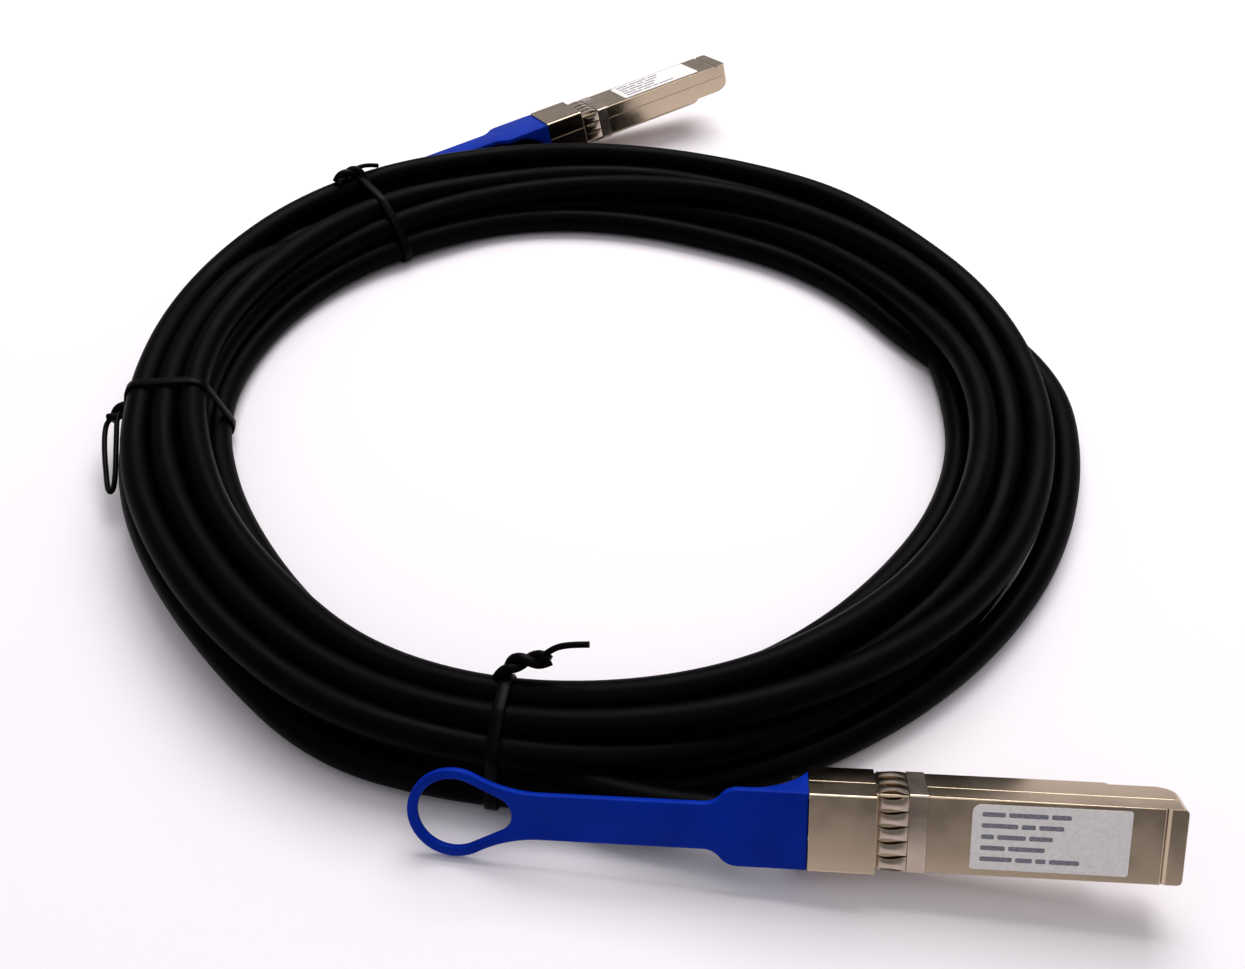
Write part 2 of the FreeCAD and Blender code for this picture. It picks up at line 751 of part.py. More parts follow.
def hood_wall_solid(side):
    """Side wall of the hood: deep at the collar, curving up to the strap's plate."""
    front = -collar_length - tab_gap
    back = front - hood_curve_length
    under = tab_top - tab_gauge
    inside = tab_top - tab_gauge / 2
    a = Vector(front, 0, -hood_drop)
    m = Vector(front - 0.4 * hood_curve_length, 0, -0.4 * hood_drop)
    b = Vector(back, 0, under)
    edges = [
        Part.Arc(a, m, b).toShape(),
        Part.makeLine(b, Vector(back, 0, inside)),
        Part.makeLine(Vector(back, 0, inside), Vector(front, 0, inside)),
        Part.makeLine(Vector(front, 0, inside), a),
    ]
    face = Part.Face(Part.Wire(edges))
    half = collar_width / 2
    y0 = side * half if side < 0 else half - hood_wall
    face.translate(Vector(0, y0, 0))
    return face.extrude(Vector(0, hood_wall, 0))


def pull_tab():
    plate = tab_plan().cut(ring_hole())
    plate.translate(Vector(0, 0, tab_top - tab_gauge))
    plate = plate.extrude(Vector(0, 0, tab_gauge))
    top = [e for e in plate.Edges if all(abs(v.Z - tab_top) < 1e-6 for v in e.Vertexes)]
    plate = plate.makeChamfer(tab_edge, top)
    return plate.fuse([hood_wall_solid(-1), hood_wall_solid(1)]).removeSplitter()


# ---- label ---------------------------------------------------------------------------

def label():
    """Thin sheet with one corner rounded more than the others."""
    x0 = label_back_at
    x1 = x0 + label_length
    y0 = label_offset - label_width / 2
    y1 = label_offset + label_width / 2
    sheet = box(x0, x1, y0, y1, 0, label_gauge)
    middle = (x0 + x1) / 2
    large = edges_along(sheet, (0, 0, 1), lambda p: p.x < middle and p.y > label_offset)
    sheet = sheet.makeFillet(label_round, large)
    small = edges_along(sheet, (0, 0, 1), lambda p: p.x > middle or p.y < y0 + lap)
    return sheet.makeFillet(label_corner, small)


# ---- coil, leads and ties ------------------------------------------------------------

def cable_coil():
    """Closed outer shape of the wound turns, raised a little where a tie runs under it."""
    x, y = coil_centre
    dx, dy = coil_inner_shift
    coil = Part.makeCylinder(coil_outer_radius, coil_height, Vector(x, y, 0))
    hole = Part.makeCylinder(coil_inner_radius, coil_height, Vector(x + dx, y + dy, 0))
    coil = coil.cut(hole)
    rims = [e for e in coil.Edges if e.Curve.TypeId == "Part::GeomCircle"]
    coil = coil.makeChamfer(coil_edge, rims)
    return coil.cut([tie_notch(angle) for angle, twist, tail in ties.values()])


def tie_notch(angle):
    half = tie_width / 2 + tie_clearance
    notch = box(inner_reach(angle) - 1, coil_outer_radius + 1, -half, half, -1,
                tie_gauge + tie_clearance)
    return notch.transformed(radial_frame(angle).toMatrix())


def radial_frame(angle):
    """Placement whose X points outwards and Y along the turns, at one place of the coil."""
    return Placement(Vector(coil_centre[0], coil_centre[1], 0), Rotation(angle, 0, 0))


def inner_reach(angle):
    """Distance from the coil's centre to its inner face in one direction."""
    turn = math.radians(angle)
    dx, dy = coil_inner_shift
    along = dx * math.cos(turn) + dy * math.sin(turn)
    across = dx * math.sin(turn) - dy * math.cos(turn)
    return along + math.sqrt(coil_inner_radius ** 2 - across ** 2)


def bundle_section(angle, outset, low, length):
    """Block with the bundle's chamfered section, grown by an outset above a given height."""
    r0 = inner_reach(angle) - outset
    r1 = coil_outer_radius + outset
    top = coil_height + outset
    cut = coil_edge + (2 - math.sqrt(2)) * outset
    low_cut = coil_edge - (math.sqrt(2) - 1) * outset - low
    outline = [(r0 + low_cut, low), (r1 - low_cut, low), (r1, low + low_cut), (r1, top - cut),
               (r1 - cut, top), (r0 + cut, top), (r0, top - cut), (r0, low + low_cut)]
    return side_prism(outline, length / 2)


def tie_band(angle):
    outside = bundle_section(angle, tie_clearance + tie_gauge, 0, tie_width)
    inside = bundle_section(angle, tie_clearance, tie_gauge, 2 * tie_width)
    return outside.cut(inside)


def tie(angle, twist, tail):
    """Band round the bundle, its twisted ends and one loose tail, in the radial frame."""
    knot = mitred_rod([Vector(*p) for p in twist], twist_diameter, tie_sides)
    loose = mitred_rod([Vector(*p) for p in tail], twist_diameter / 2, tie_sides)
    whole = tie_band(angle).fuse([knot, loose])
    return whole.transformed(radial_frame(angle).toMatrix())


def lead(plug, straight, route):
    """Uncoiled cable from the ferrule's end face to inside the coil."""
    exit_x = -collar_length + rear_wall
    exit_point = plug.multVec(Vector(exit_x, 0, -cable_axis_depth))
    first_bend = plug.multVec(Vector(exit_x - straight, 0, -cable_axis_depth))
    points = [exit_point, first_bend] + [Vector(*p) for p in route]
    edges, radii = route_edges(points)
    path = Part.Wire(edges)
    section = polygon_section(exit_point, first_bend - exit_point, cable_diameter / 2, cable_sides)
    tube = path.makePipeShell([section], True, False)
    area = Part.Face(section).Area
    print("lead radii", [round(r, 1) for r in radii], "length", round(path.Length, 1),
          "volume", round(tube.Volume), "section x length", round(area * path.Length))
    return tube


# ---- write ---------------------------------------------------------------------------

plug_parts = {
    "base_shell": base_shell,
    "cover_shell": cover_shell,
    "emi_gasket": emi_gasket,
    "label": label,
    "circuit_board": circuit_board,
    "contact_pads": contact_pads,
    "cable_ferrule": cable_ferrule,
    "cover_rivets": cover_rivets,
    "latch_rocker": latch_rocker,
    "latch_pin": latch_pin,
    "latch_spring": latch_spring,
    "release_slider": release_slider,
    "pull_tab": pull_tab,
}


def write(name, shape):
    solids = shape.Solids
    print(name, len(solids), "solid(s)", round(sum(s.Volume for s in solids), 2), shape.isValid())
    shape.exportStep("parts/" + name + ".step")


def build():
    made = {name: make() for name, make in plug_parts.items()}
    made["transmit_pair"] = wire_pair(True)
    made["receive_pair"] = wire_pair(False)
    for end, plug in (("near", near_plug), ("far", far_plug)):
        for name, shape in made.items():
            placed = shape.transformed(plug.toMatrix())
            write(end + "_" + name, placed)
    write("cable_coil", cable_coil())
    for name, (angle, twist, tail) in ties.items():
        write(name, tie(angle, twist, tail))
    write("near_lead", lead(near_plug, near_straight, near_route))
    write("far_lead", lead(far_plug, far_straight, far_route))


build()
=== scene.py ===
import bmesh
import bpy
import math
import numpy as np
from mathutils import Matrix, Vector


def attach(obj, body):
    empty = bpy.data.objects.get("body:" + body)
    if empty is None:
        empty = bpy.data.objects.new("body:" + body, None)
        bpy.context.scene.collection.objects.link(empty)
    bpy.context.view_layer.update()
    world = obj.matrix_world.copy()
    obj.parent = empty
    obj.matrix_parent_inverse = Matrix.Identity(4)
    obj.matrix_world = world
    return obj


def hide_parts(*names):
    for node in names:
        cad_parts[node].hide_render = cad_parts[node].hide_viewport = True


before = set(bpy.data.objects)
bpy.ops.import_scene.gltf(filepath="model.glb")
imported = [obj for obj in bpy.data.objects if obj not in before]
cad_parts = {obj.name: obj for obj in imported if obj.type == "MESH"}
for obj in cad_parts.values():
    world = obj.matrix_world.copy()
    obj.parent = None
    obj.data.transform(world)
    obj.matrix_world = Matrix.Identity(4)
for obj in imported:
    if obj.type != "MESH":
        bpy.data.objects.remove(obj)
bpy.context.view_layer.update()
mm = 0.001                      # the scene is in metres, and most sizes below are in millimetres


# sRGB hex to linear colour with its alpha
def toLinear(text):
    values = [int(text[i:i + 2], 16) / 255 for i in (1, 3, 5)]
    return [v / 12.92 if v <= 0.04045 else ((v + 0.055) / 1.055) ** 2.4 for v in values] + [1.0]


def addNode(tree, kind, settings=None, links=None):
    node = tree.nodes.new(kind)
    for name, value in (settings or {}).items():
        if name in node.inputs:
            node.inputs[name].default_value = value
        else:
            setattr(node, name, value)
    for name, source in (links or {}).items():
        tree.links.new(source, node.inputs[name])
    return node


def newMaterial(name, settings):
    material = bpy.data.materials.new(name)
    material.use_nodes = True
    tree = material.node_tree
    tree.nodes.clear()
    shader = addNode(tree, "ShaderNodeBsdfPrincipled", settings)
    addNode(tree, "ShaderNodeOutputMaterial", links={"Surface": shader.outputs["BSDF"]})
    return material, tree, shader


def addObject(name, data):
    piece = bpy.data.objects.new(name, data)
    bpy.context.scene.collection.objects.link(piece)
    return piece


def meshObject(name, points, faces, material, smooth=True):
    mesh = bpy.data.meshes.new(name)
    mesh.from_pydata([tuple(p) for p in points], [], faces)
    mesh.validate()
    mesh.update()
    for polygon in mesh.polygons:
        polygon.use_smooth = smooth
    mesh.materials.append(material)
    return addObject(name, mesh)


noiseMiddle = {"From Min": 0.3, "From Max": 0.7}      # nearly all of a noise lies between these


# noise whose clouds are about size metres wide, and narrower by stretch along each axis
def surfaceNoise(tree, size, detail, stretch=(1, 1, 1)):
    place = addNode(tree, "ShaderNodeTexCoord")
    mapped = addNode(tree, "ShaderNodeMapping", {"Scale": stretch}, {"Vector": place.outputs["Object"]})
    noise = addNode(tree, "ShaderNodeTexNoise", {"Scale": 1 / size, "Detail": detail},
                    {"Vector": mapped.outputs["Vector"]})
    return noise.outputs["Fac"]


# colour that drifts from the first hex value to the second with the noise
def tinted(tree, shader, noise, first, second):
    drift = addNode(tree, "ShaderNodeMapRange", noiseMiddle, {"Value": noise})
    mixed = addNode(tree, "ShaderNodeMix", {"data_type": "RGBA"})
    factor, low, high = (mixed.inputs[i] for i in (0, 6, 7))          # the node's sockets for colours
    low.default_value, high.default_value = toLinear(first), toLinear(second)
    tree.links.new(drift.outputs["Result"], factor)
    tree.links.new(mixed.outputs[2], shader.inputs["Base Color"])


# roughness that drifts from low to high with the noise
def roughened(tree, shader, noise, low, high):
    drift = addNode(tree, "ShaderNodeMapRange", {**noiseMiddle, "To Min": low, "To Max": high},
                    {"Value": noise})
    tree.links.new(drift.outputs["Result"], shader.inputs["Roughness"])


# relief of the noise, on edges that look rounded to a radius where one is given
def embossed(tree, shader, noise, strength, depth, edge=None):
    relief = addNode(tree, "ShaderNodeBump", {"Strength": strength, "Distance": depth}, {"Height": noise})
    if edge:
        rounded = addNode(tree, "ShaderNodeBevel", {"Radius": edge})
        tree.links.new(rounded.outputs["Normal"], relief.inputs["Normal"])
    tree.links.new(relief.outputs["Normal"], shader.inputs["Normal"])


# extruded black PVC: nearly matt, with a thin cool sheen
def jacketPvc():
    material, tree, shader = newMaterial("jacket_pvc", {"Specular IOR Level": 0.05})
    marks = surfaceNoise(tree, 0.5 * mm, 2.0)               # left by the extruder's die
    haze = surfaceNoise(tree, 14 * mm, 2.0)                 # from handling
    tinted(tree, shader, haze, "#020103", "#060408")
    roughened(tree, shader, haze, 0.4, 0.52)
    embossed(tree, shader, marks, 0.25, 0.03 * mm)
    return material


# soft vinyl over a wire core: black, slightly glossy
def tieCoating():
    material, tree, shader = newMaterial("tie_coating", {"Roughness": 0.38, "Specular IOR Level": 0.09})
    grain = surfaceNoise(tree, 0.8 * mm, 2.0)
    tinted(tree, shader, grain, "#020203", "#07060A")
    embossed(tree, shader, grain, 0.3, 0.05 * mm)
    return material


# moulded polypropylene, deep blue: satin, with a fine spark-eroded texture
def tabPolypropylene():
    material, tree, shader = newMaterial("tab_polypropylene", {"Specular IOR Level": 0.1})
    spark = surfaceNoise(tree, 0.35 * mm, 3.0)
    flow = surfaceNoise(tree, 9 * mm, 2.0)                  # faint flow marks
    tinted(tree, shader, flow, "#022D93", "#0333A1")
    roughened(tree, shader, spark, 0.42, 0.55)
    embossed(tree, shader, spark, 0.22, 0.03 * mm)
    return material


# zinc die casting, satin nickel plated: a soft mirror with bright edges
def nickelledDieCast():
    material, tree, shader = newMaterial("nickelled_die_cast", {"Metallic": 1.0})
    skin = surfaceNoise(tree, 0.6 * mm, 4.0)                # orange peel of the casting
    stain = surfaceNoise(tree, 7 * mm, 3.0)                 # patches rubbed by handling
    tinted(tree, shader, stain, "#BEAE99", "#CAB9A3")
    roughened(tree, shader, stain, 0.11, 0.18)
    embossed(tree, shader, skin, 0.06, 0.03 * mm, 0.16 * mm)
    return material


# thin stamped strip, tin plated: satin, with drawn lines along the fingers
def gasketSpringSteel():
    material, tree, shader = newMaterial("gasket_spring_steel", {"Metallic": 1.0})
    cloud = surfaceNoise(tree, 3 * mm, 2.0)                 # left by the plating bath
    lines = surfaceNoise(tree, 0.8 * mm, 1.0, (1, 4, 4))
    tinted(tree, shader, cloud, "#B3A699", "#BFB2A3")
    roughened(tree, shader, cloud, 0.2, 0.27)
    embossed(tree, shader, lines, 0.04, 0.02 * mm)
    return material


# bare stainless steel for pins, rivets and rocker: fine lines from the tool
def turnedSteel():
    material, tree, shader = newMaterial("turned_steel", {"Metallic": 1.0})
    lines = surfaceNoise(tree, 0.3 * mm, 2.0, (1, 6, 6))
    tinted(tree, shader, lines, "#9C978F", "#ADA8A0")
    roughened(tree, shader, lines, 0.25, 0.4)
    embossed(tree, shader, lines, 0.15, 0.02 * mm, 0.08 * mm)
    return material


# tinned copper ferrule, pressed over the braid: dull and dented
def crimpedCopper():
    material, tree, shader = newMaterial("crimped_copper", {"Metallic": 1.0})
    dents = surfaceNoise(tree, 0.9 * mm, 3.0)
    tinted(tree, shader, dents, "#8F877C", "#A2998D")
    roughened(tree, shader, dents, 0.35, 0.5)
    embossed(tree, shader, dents, 0.2, 0.05 * mm, 0.1 * mm)
    return material


# glass epoxy board under dark green lacquer
def boardSolderMask():
    material, tree, shader = newMaterial("board_solder_mask", {"Roughness": 0.3})
    weave = surfaceNoise(tree, 0.5 * mm, 2.0)
    tinted(tree, shader, weave, "#0B3A22", "#14502F")
    embossed(tree, shader, weave, 0.15, 0.02 * mm, 0.06 * mm)
    return material


# plated contact pads: bright, lightly wiped along the plug
def hardGold():
    material, tree, shader = newMaterial("hard_gold", {"Metallic": 1.0})
    wipe = surfaceNoise(tree, 0.2 * mm, 2.0, (0.2, 1, 1))
    tinted(tree, shader, wipe, "#D9A441", "#E6B85C")
    roughened(tree, shader, wipe, 0.16, 0.28)
    embossed(tree, shader, wipe, 0.1, 0.01 * mm)
    return material


# foamed insulation of the wires: milky and waxy
def wirePolyolefin():
    material, tree, shader = newMaterial("wire_polyolefin", {"Roughness": 0.45, "Subsurface Weight": 0.1})
    cells = surfaceNoise(tree, 0.3 * mm, 2.0)
    tinted(tree, shader, cells, "#C9C6BE", "#DAD7CF")
    embossed(tree, shader, cells, 0.1, 0.02 * mm)
    return material


# silver-white polyester film: satin, with the faint fibre of its adhesive
def labelPolyester():
    material, tree, shader = newMaterial("label_polyester", {})
    fibre = surfaceNoise(tree, 0.7 * mm, 3.0)
    tinted(tree, shader, fibre, "#E0DCDA", "#ECE9E7")
    roughened(tree, shader, fibre, 0.38, 0.5)
    embossed(tree, shader, fibre, 0.12, 0.02 * mm)
    return material


# thermal print: a flat grey that covers unevenly
def labelInk():
    material, tree, shader = newMaterial("label_ink", {"Roughness": 0.6})
    speck = surfaceNoise(tree, 0.25 * mm, 2.0)
    tinted(tree, shader, speck, "#6A6A75", "#9898A1")
    embossed(tree, shader, speck, 0.1, 0.01 * mm)
    return material


jacket = jacketPvc()
tieVinyl = tieCoating()
tabPlastic = tabPolypropylene()
dieCast = nickelledDieCast()
springSteel = gasketSpringSteel()
steel = turnedSteel()
ferruleMetal = crimpedCopper()
laminate = boardSolderMask()
gold = hardGold()
insulation = wirePolyolefin()
labelFilm = labelPolyester()
ink = labelInk()
print("materials done")

camera = {
    "lens": 37.0, "sensor": 36.0,
    "at": (-2.6, -234.8, 193.9),        # mm
    "down": 44.22, "roll": 0.29,        # degrees below level, and round the line of sight
    "clip": (0.01, 10.0),               # metres
    "look": "Medium High Contrast",     # deep blacks, whites that nearly clip
    "exposure": -0.29,
}


def buildCamera():
    data = bpy.data.cameras.new("camera")
    data.lens, data.sensor_width = camera["lens"], camera["sensor"]
    data.clip_start, data.clip_end = camera["clip"]
    eye = addObject("camera", data)
    eye.location = [c * mm for c in camera["at"]]
    tilt = Matrix.Rotation(math.radians(90 - camera["down"]), 4, "X")
    roll = Matrix.Rotation(math.radians(camera["roll"]), 4, "Z")
    eye.rotation_euler = (tilt @ roll).to_euler()
    bpy.context.scene.camera = eye
    view = bpy.context.scene.view_settings
    view.view_transform = "Standard"
    view.look = camera["look"]
    view.exposure = camera["exposure"]


# metres, a hair under the part
floor = {"half": 3.0, "below": 0.0002, "colour": "#F1EDF2", "roughness": 0.8}


def buildFloor():
    settings = {"Base Color": toLinear(floor["colour"]), "Roughness": floor["roughness"]}
    material, tree, shader = newMaterial("paper_floor", settings)
    half, z = floor["half"], -floor["below"]
    sheet = meshObject("floor", [(-half, -half, z), (half, -half, z), (half, half, z), (-half, half, z)],
                       [(0, 1, 2, 3)], material, smooth=False)


# area lights that aim at the middle of the floor: metres and watts
lights = {
    "key": {"at": (0.12, 0.6, 0.92), "size": (0.9, 0.7), "power": 12.0, "colour": (1.0, 0.985, 0.97)},
    "fill": {"at": (0.2, -0.5, 1.1), "size": (0.9, 0.9), "power": 2.0, "colour": (0.97, 0.97, 1.0)},
}

# the room grows brighter upwards and, by the share called back, away from the camera
room = {"back": 0.35, "from": -0.7, "to": 1.0, "dark": 0.14, "bright": 0.55, "colour": (1.0, 0.98, 1.0, 1.0)}


def buildLights():
    for name, facts in lights.items():
        data = bpy.data.lights.new(name, "AREA")
        data.shape = "RECTANGLE"
        data.size, data.size_y = facts["size"]
        data.energy = facts["power"]
        data.color = facts["colour"]
        light = addObject(name, data)
        light.location = facts["at"]
        light.rotation_euler = (-Vector(facts["at"])).to_track_quat("-Z", "Y").to_euler()


def buildRoom():
    world = bpy.data.worlds.new("studio")
    world.use_nodes = True
    tree = world.node_tree
    sky = addNode(tree, "ShaderNodeTexCoord")
    split = addNode(tree, "ShaderNodeSeparateXYZ", links={"Vector": sky.outputs["Generated"]})
    tilt = addNode(tree, "ShaderNodeMath", {"operation": "MULTIPLY_ADD"},
                   {0: split.outputs["Y"], 2: split.outputs["Z"]})
    tilt.inputs[1].default_value = room["back"]
    rise = addNode(tree, "ShaderNodeMapRange", {
        "From Min": room["from"], "From Max": room["to"],
        "To Min": room["dark"], "To Max": room["bright"],
    }, {"Value": tilt.outputs[0]})
    background = tree.nodes["Background"]
    background.inputs["Color"].default_value = room["colour"]
    tree.links.new(rise.outputs["Result"], background.inputs["Strength"])
    bpy.context.scene.world = world


buildCamera()
buildFloor()
buildLights()
buildRoom()
print("camera, floor and light done")

cable = {
    "diameter": 6.0 * mm,
    "length": 5.0,
    "centre": (-10.1, -13.5),           # coil's centre on the floor, mm
    "nearLead": [(29.38, -123.13, 9.52), (5.54, -120.88, 7.89), (-16.1, -112.4, 6.6)],
    "farLead": [(-60.2, 64.1, 6.4), (-50.9, 81.3, 4.2), (-38.18, 95.83, 5.82), (-24.97, 102.71, 7.62)],
    "startAngle": -101.0,
    "turns": 8.32,
    "perTurn": 24,                      # control points
    "starts": (98.6, 6.0), "ends": (92.8, 6.6),       # radius and height in mm where the leads join
    "slit": {"angle": 5.0, "width": 13.0, "out": 2.2},      # degrees, degrees and mm that a strand stands off
}
strandRadius = cable["diameter"] / mm / 2

# direction in degrees, inside and outside radius of the bundle in mm
coilOutline = [
    (-180, 80.8, 103.7), (-165, 78.6, 104.4), (-150, 76.8, 103.2), (-135, 76.8, 103.4), (-120, 81.4, 106.6),
    (-105, 82.5, 105.2), (-90, 82.1, 104.3), (-75, 79.4, 105.0), (-60, 77.6, 104.2), (-45, 76.3, 104.5),
    (-30, 77.3, 106.6), (-15, 80.1, 107.0), (0, 78.5, 110.5), (15, 77.4, 103.8), (30, 76.2, 100.2),
    (45, 75.2, 103.3), (60, 71.7, 102.6), (75, 72.3, 103.4), (90, 73.9, 108.6), (105, 77.5, 108.2),
    (120, 75.8, 109.0), (135, 78.6, 111.8), (150, 80.7, 106.2), (165, 81.2, 105.2), (180, 80.8, 103.7),
]

# radius share from inside to outside and height in mm of each turn where it starts
turnPlaces = [(0.80, 3.0), (0.15, 3.0), (0.45, 3.0), (0.95, 3.0), (0.30, 8.2), (0.62, 8.2), (0.05, 8.2),
              (0.92, 8.4), (0.50, 11.0), (0.55, 9.0)]

# how the strands come to rest on each other: lengths in mm, widths in degrees
settling = {
    "sweeps": 420, "fineFrom": 300,
    "ease": 0.5, "fineEase": 0.15,      # how far each sweep straightens the line, less in the fine ones
    "sink": 0.08,
    "rounds": 3, "push": 0.6,           # pushes apart in each sweep, and how much of one is taken
    "gap": 6.05, "share": 0.5,          # between the centres of strands that touch
    "slantGap": 0.93, "slantShare": 0.2,        # the same for the point beside, as a share of the gap
    "edgePull": 0.12,                   # of the outermost and innermost strands to the bundle's edges
    "lean": 0.4, "leanHeight": 9,       # a heap's sides slope inwards up to this height
    "ceiling": 13.4,
    "floor": 3.05,
    "tieLift": 0.8, "liftEnd": 1.6, "liftWidth": 12,        # a tie's band lifts the strands near it
}


# the shorter way round between directions in degrees
def degreesApart(angles, angle):
    return np.abs((angles - angle + 180) % 360 - 180)


# inside and outside radius of the bundle in each direction
def outlineAt(angles):
    table = np.array(coilOutline)
    wrapped = (angles + 180) % 360 - 180
    return np.interp(wrapped, table[:, 0], table[:, 1]), np.interp(wrapped, table[:, 0], table[:, 2])


# height of the lowest strand's centre in each direction, on the floor or on a tie's band
def floorAt(angles):
    lift = np.zeros(len(angles))
    for tie in ties.values():
        near = np.clip(settling["liftEnd"] - degreesApart(angles, tie["angle"]) / settling["liftWidth"], 0, 1)
        lift = np.maximum(lift, settling["tieLift"] * near)
    return settling["floor"] + lift


# how far strands that come too close on neighbouring turns push each point
def pushApart(place):
    per = cable["perTurn"]
    push = np.zeros_like(place)
    for lag in range(1, int(cable["turns"]) + 1):
        for slip in (-1, 0, 1):
            shift = lag * per + slip
            if shift >= len(place):
                continue
            apart = place[shift:] - place[:-shift]
            distance = np.maximum(np.hypot(apart[:, 0], apart[:, 1]), 1e-6)
            limit = settling["gap"] if slip == 0 else settling["gap"] * settling["slantGap"]
            share = settling["share"] if slip == 0 else settling["slantShare"]
            move = apart / distance[:, None] * (np.clip(limit - distance, 0, None) * share)[:, None]
            push[shift:] += move
            push[:-shift] -= move
    return push


# brings the outermost and innermost strands to the bundle's edges and keeps the rest inside
def holdInside(place, inner, outer, ground):
    per = cable["perTurn"]
    for first in range(per):
        across = np.arange(first, len(place), per)
        far, near = across[np.argmax(place[across, 0])], across[np.argmin(place[across, 0])]
        place[far, 0] += settling["edgePull"] * (outer[far] - strandRadius - place[far, 0])
        place[near, 0] += settling["edgePull"] * (inner[near] + strandRadius - place[near, 0])
    lean = settling["lean"] * np.clip(place[:, 1] - strandRadius, 0, settling["leanHeight"])
    least = inner + strandRadius + lean
    place[:, 0] = np.clip(place[:, 0], least, np.maximum(outer - strandRadius - lean, least))
    place[:, 1] = np.clip(place[:, 1], ground, settling["ceiling"])


# radius and height in mm of every point along the turns, once the strands lie on each other
def settledTurns():
    per = cable["perTurn"]
    count = int(round(cable["turns"] * per)) + 1
    steps = np.arange(count)
    angles = cable["startAngle"] - 360 * steps / per
    inner, outer = outlineAt(angles)
    ground = floorAt(angles)
    places = np.array(turnPlaces)
    share, height = (np.interp(steps / per, np.arange(len(places)), column) for column in places.T)
    place = np.stack([inner + strandRadius + share * (outer - inner - 2 * strandRadius), height], 1)
    for sweep in range(settling["sweeps"]):
        smooth = place.copy()
        smooth[1:-1] = 0.5 * place[1:-1] + 0.25 * (place[:-2] + place[2:])
        place += settling["ease" if sweep < settling["fineFrom"] else "fineEase"] * (smooth - place)
        place[:, 1] -= settling["sink"]
        for again in range(settling["rounds"]):
            place += pushApart(place) * settling["push"]
            holdInside(place, inner, outer, ground)
        place[0], place[-1] = cable["starts"], cable["ends"]
    slit = cable["slit"]                # where the outermost strand stands off the others
    along = [i for i in range(count) if degreesApart(angles[i], slit["angle"]) <= 180 / per]
    outermost = max(along, key=lambda i: place[i, 0])
    place[:, 0] += slit["out"] * np.exp(-((angles - angles[outermost]) / slit["width"]) ** 2)
    return angles, place


# control points of the turns, moved outwards because the smooth curve cuts inside them
def coilPoints():
    angles, place = settledTurns()
    grow = 1 / (0.25 * math.cos(2 * math.pi / cable["perTurn"]) + 0.75)
    x = cable["centre"][0] + grow * place[:, 0] * np.cos(np.radians(angles))
    y = cable["centre"][1] + grow * place[:, 0] * np.sin(np.radians(angles))
    return np.stack([x, y, place[:, 1]], 1)


# one line of the curve, open until it is set cyclic
def addSpline(curve, kind, points):
    spline = curve.splines.new(kind)
    spline.points.add(len(points) - 1)
    for point, place in zip(spline.points, points):
        point.co = (*place, 1.0)
    return spline


# round bar along a smooth line near the points
def barCurve(name, points, radius, roundSteps, alongSteps, order):
    curve = bpy.data.curves.new(name, "CURVE")
    curve.dimensions = "3D"
    curve.bevel_depth = radius
    curve.bevel_resolution = roundSteps
    curve.resolution_u = alongSteps
    spline = addSpline(curve, "NURBS", points)
    spline.order_u = order
    spline.use_endpoint_u = True
    return curve


def buildCable():
    route = [*cable["nearLead"], *coilPoints().tolist(), *cable["farLead"]]
    points = [[c * mm for c in place] for place in route]
    curve = barCurve("twinaxCable", points, cable["diameter"] / 2, roundSteps=8, alongSteps=10, order=3)
    curve.materials.append(jacket)
    piece = addObject("twinaxCable", curve)
    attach(piece, "root")
    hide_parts("cable_coil", "near_lead", "far_lead")
    return piece


# the evaluated piece as a mesh of its own
def plainMesh(piece):
    bpy.context.view_layer.update()
    graph = bpy.context.evaluated_depsgraph_get()
    return bpy.data.meshes.new_from_object(piece.evaluated_get(graph), depsgraph=graph)


# deletes a helper piece with its data
def drop(piece):
    data = piece.data
    bpy.data.objects.remove(piece)
    (bpy.data.curves if isinstance(data, bpy.types.Curve) else bpy.data.meshes).remove(data)


# joins (mesh, matrix, material index) into one object whose place is in its mesh
def gathered(name, meshes, materials, sharpAngle):
    whole = bmesh.new()
    for mesh, matrix, index in meshes:
        mesh.transform(matrix)
        for polygon in mesh.polygons:
            polygon.use_smooth = True
            polygon.material_index = index
        whole.from_mesh(mesh)
        bpy.data.meshes.remove(mesh)
    mesh = bpy.data.meshes.new(name)
    whole.to_mesh(mesh)
    whole.free()
    for material in materials:
        mesh.materials.append(material)
    mesh.set_sharp_from_angle(angle=math.radians(sharpAngle))
    return addObject(name, mesh)


# round wire with closed ends along a smooth line near the points, in mm
def wireMesh(points, radius):
    curve = barCurve("wire", points, radius, roundSteps=3, alongSteps=4, order=4)
    curve.use_fill_caps = True
    piece = addObject("wire", curve)
    mesh = plainMesh(piece)
    drop(piece)
    return mesh


# the cable's own line in mm, read from a bare copy of its curve
def centreline(piece):
    bare = addObject("bare", piece.data.copy())
    bare.data.bevel_depth = 0
    mesh = plainMesh(bare)
    drop(bare)
    line = np.array([v.co[:] for v in mesh.vertices]) / mm
    bpy.data.meshes.remove(mesh)
    return line


# distance and height in mm where the cable crosses the half-plane of one direction
def strandsAt(path, angle):
    turn = math.radians(angle)
    flat = path[:, :2] - np.array(cable["centre"])
    side = flat @ np.array([-math.sin(turn), math.cos(turn)])
    reach = flat @ np.array([math.cos(turn), math.sin(turn)])
    found = []
    for i in np.nonzero((side[:-1] * side[1:] <= 0) & (reach[:-1] > 0))[0]:
        share = side[i] / (side[i] - side[i + 1]) if side[i] != side[i + 1] else 0.0
        found.append((reach[i] + share * (reach[i + 1] - reach[i]),
                      path[i, 2] + share * (path[i + 1, 2] - path[i, 2])))
    return found


